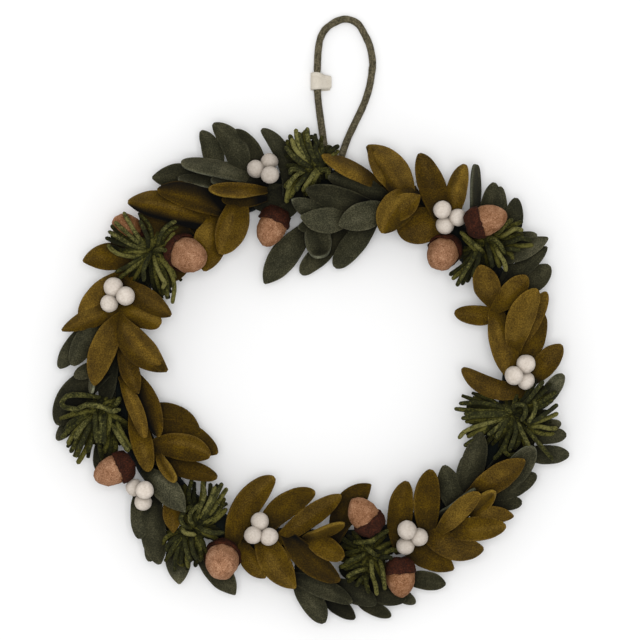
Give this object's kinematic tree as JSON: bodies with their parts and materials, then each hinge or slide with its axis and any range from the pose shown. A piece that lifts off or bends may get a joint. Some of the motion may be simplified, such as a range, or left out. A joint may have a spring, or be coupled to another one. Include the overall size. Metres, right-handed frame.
{
  "type": "felt wreath",
  "caption": "Felt wreath: a felt-covered ring dressed with felt leaves, yarn pom-poms, felted acorns and berry bunches, with a felted hanging loop.",
  "frame": {"origin": "on the surface that the wreath lies on, under the middle of the wreath without its cord", "axes": "+Z out of the wreath's front, away from the surface; +Y towards the hanging loop; +X to the right seen from the front"},
  "size_m": [0.3879, 0.4592, 0.0531],
  "materials": {
    "felt_moss": "matte wool felt, dark grey-green",
    "felt_olive": "matte wool felt, olive mustard",
    "felt_ring": "matte wool felt, very dark green",
    "yarn_green": "matte spun wool yarn, mixed greens",
    "felt_tan": "needle-felted wool, pinkish tan",
    "felt_brown": "needle-felted wool, dark red-brown",
    "felt_white": "felted wool, off-white",
    "cord_grey_green": "felted wool cord, grey-green",
    "tape_cream": "matte cotton tape, cream"
  },
  "bodies": {
    "root": {"acorn_cap_1": "felt_brown", "acorn_cap_2": "felt_brown", "acorn_cap_3": "felt_brown", "acorn_cap_4": "felt_brown", "acorn_cap_5": "felt_brown", "acorn_cap_6": "felt_brown", "acorn_cap_7": "felt_brown", "acorn_cap_8": "felt_brown", "acorn_cap_9": "felt_brown", "acorn_nut_1": "felt_tan", "acorn_nut_2": "felt_tan", "acorn_nut_3": "felt_tan", "acorn_nut_4": "felt_tan", "acorn_nut_5": "felt_tan", "acorn_nut_6": "felt_tan", "acorn_nut_7": "felt_tan", "acorn_nut_8": "felt_tan", "acorn_nut_9": "felt_tan", "berry_bunch_1": "felt_white", "berry_bunch_2": "felt_white", "berry_bunch_3": "felt_white", "berry_bunch_4": "felt_white", "berry_bunch_5": "felt_white", "berry_bunch_6": "felt_white", "berry_bunch_7": "felt_white", "hanging_cord": "cord_grey_green", "label_tape": "tape_cream", "pompom_1": "yarn_green", "pompom_2": "yarn_green", "pompom_3": "yarn_green", "pompom_4": "yarn_green", "pompom_5": "yarn_green", "pompom_6": "yarn_green", "pompom_7": "yarn_green", "ring_core": "felt_ring", "sprig_moss_bottom": "felt_moss", "sprig_moss_bottom_left": "felt_moss", "sprig_moss_left": "felt_moss", "sprig_moss_right_inner": "felt_moss", "sprig_moss_right_outer": "felt_moss", "sprig_moss_top": "felt_moss", "sprig_moss_top_left": "felt_moss", "sprig_moss_top_right": "felt_moss", "sprig_olive_bottom": "felt_olive", "sprig_olive_bottom_right": "felt_olive", "sprig_olive_left_lower": "felt_olive", "sprig_olive_left_middle": "felt_olive", "sprig_olive_left_upper": "felt_olive", "sprig_olive_right": "felt_olive", "sprig_olive_top_left": "felt_olive", "sprig_olive_top_right": "felt_olive"}
  },
  "joints": []
}
